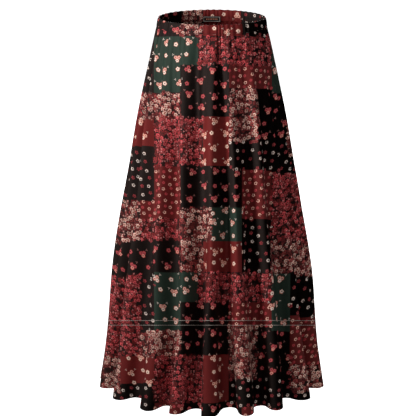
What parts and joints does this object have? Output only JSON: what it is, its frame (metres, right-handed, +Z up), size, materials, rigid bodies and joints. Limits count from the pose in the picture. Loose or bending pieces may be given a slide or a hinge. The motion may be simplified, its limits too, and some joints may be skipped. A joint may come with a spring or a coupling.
{
  "type": "maxi skirt",
  "caption": "Long gathered skirt with an elastic waistband, hollow and flared, falling in soft tube folds from the waist to a wavy hem.",
  "frame": {"origin": "on the body's axis at the waist, half way up the waistband", "axes": "+Z up the body, the front of the skirt faces -Y, +X to the wearer's left"},
  "size_m": [0.5678, 0.5533, 0.9237],
  "materials": {
    "printed_cloth": "matte patchwork of small flower prints on crinkled crepe",
    "band_cloth": "the same print, gathered over elastic",
    "label_satin": "black woven satin with a pale edge"
  },
  "bodies": {
    "root": {"waistband": "band_cloth", "front_panel": "printed_cloth", "back_panel": "printed_cloth", "label": "label_satin"}
  },
  "joints": []
}
